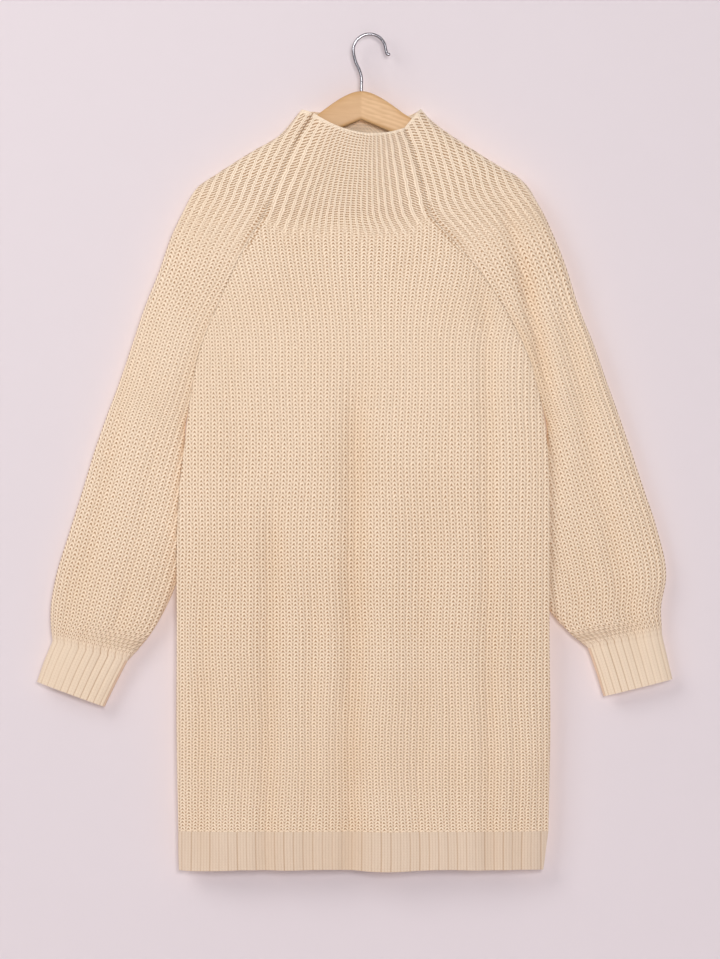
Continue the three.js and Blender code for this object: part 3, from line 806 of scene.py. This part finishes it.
class Net:
    """Adds nodes to a tree. A value given to a node is a number, a colour or another node's output."""

    def __init__(self, tree):
        self.tree = tree

    def fill(self, node, values):
        for key, value in values.items():
            if isinstance(value, bpy.types.NodeSocket):
                self.tree.links.new(value, node.inputs[key])
            else:
                node.inputs[key].default_value = value
        return node

    def add(self, kind, values=None, **settings):
        node = self.tree.nodes.new(kind)
        for key, value in settings.items():
            setattr(node, key, value)
        return self.fill(node, values or {})

    def math(self, operation, *values, clamp=False):
        settings = {"operation": operation, "use_clamp": clamp}
        return self.add("ShaderNodeMath", dict(enumerate(values)), **settings).outputs[0]

    def vector(self, operation, a, b):
        return self.add("ShaderNodeVectorMath", {0: a, 1: b}, operation=operation).outputs[0]

    def rise(self, value, low, high):
        """0 up to low, 1 from high on, and an S-curve between them."""
        values = {"Value": value, "From Min": low, "From Max": high}
        return self.add("ShaderNodeMapRange", values, interpolation_type="SMOOTHSTEP").outputs["Result"]

    def fall(self, value, low, high):
        return self.math("SUBTRACT", 1, self.rise(value, low, high))

    def peak(self, rib):
        """Straight lines from 0 in the middle of each furrow up to 1 on the middle of each rib."""
        return self.math("MULTIPLY", self.math("PINGPONG", rib, 0.5), 2)

    def swing(self, phase):
        """A cosine wave that is 0 at each whole phase and 1 halfway."""
        wave = self.math("COSINE", self.math("MULTIPLY", phase, 2 * np.pi))
        return self.math("MULTIPLY_ADD", wave, -0.5, 0.5)

    def between(self, share, a, b):
        return self.add("ShaderNodeMix", {0: share, 2: a, 3: b}, data_type="FLOAT").outputs[0]

    def mix(self, share, a, b, blend="MIX"):
        values = {0: share, 6: a, 7: b}
        return self.add("ShaderNodeMix", values, data_type="RGBA", blend_type=blend).outputs[2]

    def noise(self, place, scale, detail, output="Fac"):
        values = {"Vector": place, "Scale": scale, "Detail": detail}
        return self.add("ShaderNodeTexNoise", values).outputs[output]

    def mask(self, name):
        return self.add("ShaderNodeAttribute", attribute_name=name).outputs["Fac"]

    def uv(self, name):
        return self.add("ShaderNodeUVMap", uv_map=name).outputs["UV"]

    def place(self):
        return self.add("ShaderNodeTexCoord").outputs["Object"]

    def split(self, vector):
        return self.add("ShaderNodeSeparateXYZ", {0: vector}).outputs

    def group(self, name, make, **values):
        """Places a node group, which is built the first time."""
        tree = bpy.data.node_groups.get(name) or make(name)
        return self.add("ShaderNodeGroup", values, node_tree=tree).outputs


def node_group(name, inputs, outputs):
    """An empty shader node group with named sockets: its net, its inputs and the node of its outputs."""
    group = bpy.data.node_groups.new(name, "ShaderNodeTree")
    for in_out, sockets in (("INPUT", inputs), ("OUTPUT", outputs)):
        for key, kind in sockets.items():
            group.interface.new_socket(name=key, in_out=in_out, socket_type="NodeSocket" + kind)
    net = Net(group)
    return net, net.add("NodeGroupInput").outputs, net.add("NodeGroupOutput")


def cardigan_group(name):
    """Rows of strands rise to a peak over each rib, with a gap under each peak and a small one between."""
    net, given, made = node_group(name, {"Place": "Vector"}, {"Gap": "Float"})
    rib, row, _ = net.split(given["Place"])
    peak = net.peak(rib)
    hollow = net.math("POWER", net.swing(net.math("ADD", row, peak)), 1.6)
    weight = net.math("MULTIPLY_ADD", net.rise(peak, 0.5, 0.95), 0.75, 0.25)
    weight = net.math("MULTIPLY_ADD", net.fall(peak, 0.02, 0.22), 0.45, weight)
    beside = net.math("MULTIPLY", net.rise(peak, 0.04, 0.14), net.fall(peak, 0.2, 0.34))
    gap = net.math("MULTIPLY_ADD", beside, 0.3, net.math("MULTIPLY", hollow, weight), clamp=True)
    net.fill(made, {"Gap": gap})
    return net.tree


def ladder_group(name):
    """Smooth pairs of strands along each rib, and slanting rungs with gaps between them from rib to rib."""
    net, given, made = node_group(name, {"Place": "Vector", "Slant": "Float"}, {"Gap": "Float"})
    rib, row, _ = net.split(given["Place"])
    peak = net.peak(rib)
    across = net.math("FRACT", net.math("ADD", rib, 0.5))
    phase = net.math("ADD", row, net.math("MULTIPLY", across, given["Slant"]))
    hollow = net.math("POWER", net.swing(phase), 1.3)
    middle = net.math("MULTIPLY_ADD", net.rise(peak, 0.0, 0.12), 0.45, 0.55)
    between = net.math("MULTIPLY", net.math("MULTIPLY", hollow, net.fall(peak, 0.55, 0.72)), middle)
    groove = net.math("MULTIPLY", net.rise(peak, 0.9, 0.99), 0.45)
    net.fill(made, {"Gap": net.math("ADD", between, groove, clamp=True)})
    return net.tree


def band_group(name):
    """A thin furrow of its own depth between each two ribs, faint lines between wales, and faint rows."""
    inputs = {"Place": "Vector", "Wales": "Float", "Furrow": "Float", "Lines": "Float"}
    net, given, made = node_group(name, inputs, {"Gap": "Float"})
    rib, row, _ = net.split(given["Place"])
    number = net.math("FLOOR", net.math("ADD", rib, 0.5))
    chance = net.add("ShaderNodeTexWhiteNoise", {"W": number}, noise_dimensions="1D")
    depth = net.math("MULTIPLY_ADD", chance.outputs["Value"], 0.7, 0.3)
    furrow = net.math("MULTIPLY", net.fall(net.peak(rib), 0.04, 0.24), depth)
    furrow = net.math("MULTIPLY", furrow, given["Furrow"])
    wale = net.peak(net.math("MULTIPLY", rib, given["Wales"]))
    lines = net.math("MULTIPLY", net.fall(wale, 0.0, 0.5), given["Lines"])
    rows = net.swing(net.math("SUBTRACT", row, net.math("MULTIPLY", wale, 0.6)))
    gap = net.math("MULTIPLY_ADD", rows, 0.1, net.math("ADD", furrow, lines), clamp=True)
    net.fill(made, {"Gap": gap})
    return net.tree


def body_stitches(net, ribs, place):
    """Cardigan stitches, the yoke's ladder stitches, and a cuff's ribs in a sleeve's last rows. They are a
    little uneven, and the painted shade in their gaps is stronger on the chest and down the skirt."""
    noise = net.noise(place, 130.0, 2.0, "Color")
    off = net.vector("MULTIPLY", net.vector("SUBTRACT", noise, (0.5, 0.5, 0.5)), UNEVEN)
    yoke, steps = net.mask("Yoke"), net.uv("Ladder")
    slant = net.math("MULTIPLY_ADD", net.split(steps)[0], -2 * STEEPEST_RUNG / YOKE_RIBS, STEEPEST_RUNG)
    slant = net.math("MINIMUM", net.math("MAXIMUM", slant, -STEEPEST_RUNG), STEEPEST_RUNG)
    body = net.group("Cardigan stitches", cardigan_group, Place=net.vector("ADD", ribs, off))
    ladder = net.group("Ladder stitches", ladder_group, Place=net.vector("ADD", steps, off), Slant=slant)
    halved = net.vector("MULTIPLY", ribs, (0.5, 1.0, 1.0))
    cuff = net.group("Band stitches", band_group, Place=halved, **CUFF_KNIT)
    gap = net.between(yoke, body["Gap"], ladder["Gap"])
    gap = net.between(net.mask("Band"), gap, cuff["Gap"])
    z = net.split(place)[2]
    skirt = net.math("MULTIPLY_ADD", net.fall(z, -0.66, -0.3), 0.3, 1.0)
    chest = net.math("MULTIPLY", net.rise(z, -0.36, -0.24), net.math("SUBTRACT", 1, yoke))
    return gap, net.math("MULTIPLY_ADD", chest, 0.2, skirt)


def hem_stitches(net, ribs, place):
    return net.group("Band stitches", band_group, Place=ribs, **HEM_KNIT)["Gap"], 1.0


def cuff_stitches(net, ribs, place):
    return net.group("Band stitches", band_group, Place=ribs, **CUFF_KNIT)["Gap"], 1.0


def seam_shades(net, place, ribs):
    """How dark the raglan seams are: a faint line, painted shade in the deeper furrow at the left of the
    neck, and a row of holes where the yoke ends."""
    edge, seam = net.mask("Edge"), net.mask("Seam")
    # Painted shade in the seam's furrow, deepest at the left of the neck
    at_left = net.fall(net.split(place)[0], -0.055, -0.045)
    furrow = net.math("MULTIPLY", at_left, net.fall(edge, 22.0, 45.0))
    line = net.math("MULTIPLY", net.fall(seam, 0.1, 1.3), net.math("MULTIPLY_ADD", furrow, 0.6, 0.05))
    dots = net.math("SUBTRACT", 1, net.swing(net.split(ribs)[1]))
    off_line = net.math("ABSOLUTE", net.math("SUBTRACT", seam, 3.6))
    holes = net.math("MULTIPLY", dots, net.fall(off_line, 0.7, 1.8))
    yoke_end = net.math("SUBTRACT", net.rise(edge, 84.0, 100.0), net.rise(edge, 132.0, 160.0))
    holes = net.math("MULTIPLY", holes, net.math("MULTIPLY_ADD", yoke_end, 0.95, 0.05))
    return net.math("MAXIMUM", line, holes)


def yarn_group(name):
    """Yarn is darker, as painted shade, in its gaps, in creases, in the seams' furrow, and in a rosy strip
    and a line along each inner fold. The seams also have a faint line of their own. It is plainer on the rim
    and on the inside, whose fewer gaps are partly the plainer inner knit and partly painted light. Its tone
    changes slowly, and it is fuzzy."""
    inputs = {"Place": "Vector", "Ribs": "Vector", "Height": "Float", "Gap": "Float"}
    inputs.update({"Yarn": "Color", "Shade": "Color"})
    net, given, made = node_group(name, inputs, {"Colour": "Color", "Height": "Float"})
    place, layer = given["Place"], net.mask("Layer")
    gap = net.math("MULTIPLY", given["Gap"], net.rise(net.mask("Edge"), 2.2, 3.4))
    gap = net.math("MAXIMUM", gap, seam_shades(net, place, given["Ribs"]))
    # Painted shade: a dark line along each inner fold
    fold_shade_line = net.fall(net.math("ABSOLUTE", net.math("SUBTRACT", layer, 1.0)), 0.04, 0.14)
    gap = net.math("MAXIMUM", gap, net.math("MULTIPLY", fold_shade_line, 0.45))
    # The inside keeps a tenth of the gap shade: partly the plainer inner knit, and partly painted light on
    # the inner neck
    gap = net.math("MULTIPLY", gap, net.math("MULTIPLY_ADD", net.mask("Inside"), -0.9, 1.0))
    tone = net.math("MULTIPLY", net.rise(net.noise(place, 9.0, 3.0), 0.3, 0.7), 0.35)
    # Painted shade in the gaps, in the seams' furrow and in the line along each inner fold
    colour = net.mix(gap, given["Yarn"], given["Shade"])
    # Painted shade, darker and rosier, in a strip along each inner fold
    colour = net.mix(net.rise(layer, 0.98, 1.1), colour, PAINTED_FOLD_EDGE_SHADE, "MULTIPLY")
    # Painted shade in the creases
    colour = net.mix(net.mask("Fold"), colour, PAINTED_CREASE_SHADE, "MULTIPLY")
    colour = net.mix(tone, colour, TONE_TINT, "MULTIPLY")
    fuzzy = net.math("MULTIPLY_ADD", net.noise(place, 900.0, 2.0), 0.35, given["Height"])
    net.fill(made, {"Colour": colour, "Height": fuzzy})
    return net.tree


def new_material(name):
    """A material, its net and its Principled shader."""
    material = bpy.data.materials.new(name)
    material.use_nodes = True
    return material, Net(material.node_tree), material.node_tree.nodes["Principled BSDF"]


def knit_material(name, colours, yarn, stitches):
    """Matt yarn in the given stitches, which say how deep a gap each place is and how far gaps open."""
    if name in bpy.data.materials:
        return bpy.data.materials[name]
    material, net, shader = new_material(name)
    ribs, place = net.uv("Ribs"), net.place()
    # The stitches give the painted shade of the gaps and how strong it is
    gap, shade_strength = stitches(net, ribs, place)
    values = {
        "Place": place,
        "Ribs": ribs,
        "Height": net.math("SUBTRACT", 1, gap),
        "Gap": net.math("MULTIPLY", gap, shade_strength),
        # Towards the cuff the yarn takes the cuffs' darker copy of it, which is painted shade
        "Yarn": net.mix(net.mask("Band"), (*yarn, 1), (*colours.cuff, 1)),
        "Shade": (*colours.gap, 1),
    }
    knit = net.group("Knitted yarn", yarn_group, **values)
    bump = net.add("ShaderNodeBump", {"Height": knit["Height"], "Strength": 0.8, "Distance": 0.0008})
    looks = {
        "Base Color": knit["Colour"],
        "Roughness": 0.92,
        "Sheen Weight": 0.2,
        "Sheen Roughness": 0.6,
        "Specular IOR Level": 0.2,
        "Normal": bump.outputs["Normal"],
    }
    net.fill(shader, looks)
    return material


def wood_material(colours):
    """Pale wood in two halves: a plain, darker one at the left and one with fine grain lines at the right."""
    material, net, shader = new_material("Hanger wood")
    place = net.place()
    x, _, z = net.split(place)
    stretched = net.add("ShaderNodeMapping", {"Vector": place, "Scale": (18.0, 60.0, 160.0)}).outputs[0]
    grain = net.noise(stretched, 1.6, 5.0)
    soft = net.rise(grain, 0.35, 0.68)
    right = net.rise(x, (CENTRE_LINE - 2) * MM, (CENTRE_LINE + 2) * MM)
    bent = net.math("MULTIPLY_ADD", grain, 0.006, net.math("MULTIPLY_ADD", x, 0.35, z))
    lines = net.swing(net.math("MULTIPLY_ADD", bent, 1 / GRAIN_LINES, 0.25))
    plain = net.math("MULTIPLY_ADD", soft, 0.3, 0.6)
    lined = net.math("MULTIPLY_ADD", lines, 0.55, net.math("MULTIPLY", soft, 0.25))
    shade = net.mix(net.between(right, plain, lined), (*colours.wood, 1), (*colours.grain, 1))
    bump = net.add("ShaderNodeBump", {"Height": grain, "Strength": 0.15, "Distance": 0.0003})
    net.fill(shader, {"Base Color": shade, "Roughness": 0.45, "Normal": bump.outputs["Normal"]})
    return material


def steel_material(colours):
    material, net, shader = new_material("Hook wire")
    rough = net.math("MULTIPLY_ADD", net.noise(net.place(), 300.0, 2.0), 0.12, 0.12)
    net.fill(shader, {"Base Color": (*colours.steel, 1), "Metallic": 1.0, "Roughness": rough})
    return material


def wall_material(name, colour):
    """A pale matt wall that isn't there for shadow rays or for a camera behind it."""
    material, net, shader = new_material(name)
    net.fill(shader, {"Base Color": (*colour, 1), "Roughness": 0.95})
    behind = net.add("ShaderNodeNewGeometry").outputs["Backfacing"]
    shadow = net.add("ShaderNodeLightPath").outputs["Is Shadow Ray"]
    clear = net.add("ShaderNodeBsdfTransparent").outputs[0]
    shaders = {0: net.math("MAXIMUM", behind, shadow), 1: shader.outputs[0], 2: clear}
    mix = net.add("ShaderNodeMixShader", shaders).outputs[0]
    net.fill(material.node_tree.nodes["Material Output"], {"Surface": mix})
    return material


# Studio, in metres

WALL_BACK = 0.0225
GROUND = -1.16
WALL_WIDTH = 4.0  # to each side
WALL_TOP = 3.0
FLOOR_FRONT = -6.0
CAMERA_PLACE = (-0.0105, -4.006, -0.489)
CAMERA_AWAY = 4.0
FRAME_LENGTH = 1.0549  # what the frame's longer side shows at that distance
WORLD_COLOUR = (0.95, 0.93, 0.97, 1)
WORLD_STRENGTH = 0.38
# Each light's name, place, aim, size, power and tint
LIGHTS = (
    ("key", (-1.7, -2.1, 0.95), (0, 0, -0.35), 1.6, 30, (1, 0.98, 0.96)),
    ("fill", (0.4, -4.5, 0.0), (0, 0, -0.35), 0.8, 81, (0.99, 0.98, 0.99)),
    ("behind", (0.8, 2.4, 0.6), (0, 0, -0.4), 2.0, 70, (1, 1, 1)),
)


def square_light(name, place, aim, size, power, tint):
    data = bpy.data.lights.new(name, "AREA")
    data.size = size
    data.energy = power
    data.color = tint
    lamp = bpy.data.objects.new(name, data)
    lamp.location = place
    lamp.rotation_euler = (Vector(aim) - Vector(place)).to_track_quat("-Z", "Y").to_euler()
    bpy.context.scene.collection.objects.link(lamp)
    return lamp


def plane(name, corners, colour):
    piece = mesh_object(name, np.array(corners, float), np.array([[0, 1, 2, 3]]))
    piece.data.materials.append(wall_material(name.capitalize(), colour))
    return piece


# Add-on


def length(text, value):
    return FloatProperty(name=text, description=text, default=value, min=0.0, unit="LENGTH", precision=5)


def colour(text, value):
    limits = {"size": 3, "min": 0.0, "max": 1.0, "subtype": "COLOR"}
    return FloatVectorProperty(name=text, description=text, default=value, **limits)


class DressSizes(bpy.types.PropertyGroup):
    """Sizes of the knit."""

    rib_pitch: length("Distance from rib to rib on the body and sleeves", 0.0069)
    rib_height: length("Height of a rib over the furrow beside it", 0.0009)
    hem_pitch: length("Distance from rib to rib on the hem", 0.0104)
    row_height: length("Height of a row of stitches on the body", 0.0045)
    ladder_height: length("Height of a row of stitches on the yoke", 0.00275)
    band_height: length("Height of a row of stitches on the cuffs and hem", 0.003)
    cloth: length("Thickness of the knitted cloth", 0.0028)


class DressColours(bpy.types.PropertyGroup):
    """Colours of the yarn, the hanger and the studio."""

    yarn: colour("Cream yarn", (0.97, 0.81, 0.62))
    # The hem's and the cuffs' yarn are darker copies of the same cream yarn: the difference is painted shade
    hem: colour("Cream yarn of the hem, which lies flatter", (0.755, 0.615, 0.475))
    cuff: colour("Cream yarn of the cuffs", (0.835, 0.69, 0.525))
    # The knit's gaps are darkened towards this colour, as painted shade
    gap: colour("Shade in the gaps of the knit", (0.42, 0.23, 0.1))
    wood: colour("Pale wood", (0.72, 0.46, 0.23))
    grain: colour("Darker grain of the wood", (0.57, 0.33, 0.14))
    steel: colour("Polished wire", (0.3, 0.29, 0.31))
    wall: colour("Wall behind the dress", (0.735, 0.67, 0.69))
    floor: colour("Floor", (0.6, 0.56, 0.58))


class DRESS_OT_panels(bpy.types.Operator):
    """Knit the front and back panels"""

    bl_idname = "dress.panels"
    bl_label = "Body panels"

    def execute(self, context):
        sizes, colours = context.scene.dress_sizes, context.scene.dress_colours
        knit = knit_material("Chunky knit", colours, colours.yarn, body_stitches)
        for name, face in (("front_panel", -1), ("back_panel", 1)):
            piece = panel_piece(name + "_knit", PANEL_ROWS, face, False, sizes)
            finish_piece(piece, knit, "chunky_knit", name)
        return {"FINISHED"}


class DRESS_OT_sleeves(bpy.types.Operator):
    """Knit the two balloon sleeves"""

    bl_idname = "dress.sleeves"
    bl_label = "Sleeves"

    def execute(self, context):
        sizes, colours = context.scene.dress_sizes, context.scene.dress_colours
        knit = knit_material("Chunky knit", colours, colours.yarn, body_stitches)
        for name, side in (("sleeve_left", -1), ("sleeve_right", 1)):
            piece = sleeve_piece(name + "_knit", side, sizes)
            nodes = [name + "_" + part for part in SLEEVE_LENGTHS]
            finish_piece(piece, knit, "chunky_knit", *nodes)
        return {"FINISHED"}


class DRESS_OT_bands(bpy.types.Operator):
    """Knit the ribbed cuffs and hem bands"""

    bl_idname = "dress.bands"
    bl_label = "Cuffs and hem"

    def execute(self, context):
        sizes, colours = context.scene.dress_sizes, context.scene.dress_colours
        knit = knit_material("Cuff rib", colours, colours.cuff, cuff_stitches)
        for name, side, sleeve in (("cuff_left", -1, "sleeve_left"), ("cuff_right", 1, "sleeve_right")):
            piece = cuff_piece(name + "_knit", side, sizes)
            finish_piece(piece, knit, "fine_rib", name)
        knit = knit_material("Hem rib", colours, colours.hem, hem_stitches)
        for name, face, panel in (("hem_front", -1, "front_panel"), ("hem_back", 1, "back_panel")):
            piece = panel_piece(name + "_knit", HEM_ROWS, face, True, sizes)
            finish_piece(piece, knit, "fine_rib", name)
        return {"FINISHED"}


class DRESS_OT_hanger(bpy.types.Operator):
    """Make the wooden bar and its wire hook"""

    bl_idname = "dress.hanger"
    bl_label = "Hanger"

    def execute(self, context):
        colours = context.scene.dress_colours
        finish_piece(bar_mesh("hanger_bar_wood"), wood_material(colours), "hanger_wood", "hanger_bar")
        finish_piece(hook_mesh("hanger_hook_wire"), steel_material(colours), "hook_wire", "hanger_hook")
        return {"FINISHED"}


class DRESS_OT_stage(bpy.types.Operator):
    """Set the wall, the floor, the lights and the camera"""

    bl_idname = "dress.stage"
    bl_label = "Studio"

    def execute(self, context):
        colours, scene = context.scene.dress_colours, context.scene
        sides = ((-1, 0), (1, 0), (1, 1), (-1, 1))
        wall = [(WALL_WIDTH * x, WALL_BACK, WALL_TOP if up else GROUND) for x, up in sides]
        floor = [(WALL_WIDTH * x, WALL_WIDTH if up else FLOOR_FRONT, GROUND) for x, up in sides]
        planes = plane("wall", wall, colours.wall), plane("floor", floor, colours.floor)
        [square_light(*light) for light in LIGHTS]
        scene.world = bpy.data.worlds.new("Studio")
        scene.world.use_nodes = True
        sky = {"Color": WORLD_COLOUR, "Strength": WORLD_STRENGTH}
        tree = scene.world.node_tree
        Net(tree).fill(tree.nodes["Background"], sky)
        scene.view_settings.view_transform = "Standard"
        data = bpy.data.cameras.new("camera")
        data.lens = data.sensor_width * CAMERA_AWAY / FRAME_LENGTH
        data.clip_start = 0.05
        camera = bpy.data.objects.new("camera", data)
        camera.location = CAMERA_PLACE
        camera.rotation_euler = (np.pi / 2, 0, 0)
        scene.collection.objects.link(camera)
        scene.camera = camera
        return {"FINISHED"}


class DRESS_PT_tools(bpy.types.Panel):
    """Lists the steps that build the dress"""

    bl_label = "Sweater dress"
    bl_idname = "DRESS_PT_tools"
    bl_space_type = "VIEW_3D"
    bl_region_type = "UI"
    bl_category = "Dress"

    def draw(self, context):
        for operator in OPERATORS:
            self.layout.operator(operator.bl_idname)


OPERATORS = (DRESS_OT_panels, DRESS_OT_sleeves, DRESS_OT_bands, DRESS_OT_hanger, DRESS_OT_stage)
CLASSES = (DressSizes, DressColours, *OPERATORS, DRESS_PT_tools)


def register():
    for item in CLASSES:
        bpy.utils.register_class(item)
    bpy.types.Scene.dress_sizes = PointerProperty(type=DressSizes)
    bpy.types.Scene.dress_colours = PointerProperty(type=DressColours)


def unregister():
    del bpy.types.Scene.dress_colours
    del bpy.types.Scene.dress_sizes
    for item in reversed(CLASSES):
        bpy.utils.unregister_class(item)


def main():
    register()
    bpy.ops.dress.panels()
    bpy.ops.dress.sleeves()
    bpy.ops.dress.bands()
    bpy.ops.dress.hanger()
    bpy.ops.dress.stage()


if __name__ == "__main__":
    main()
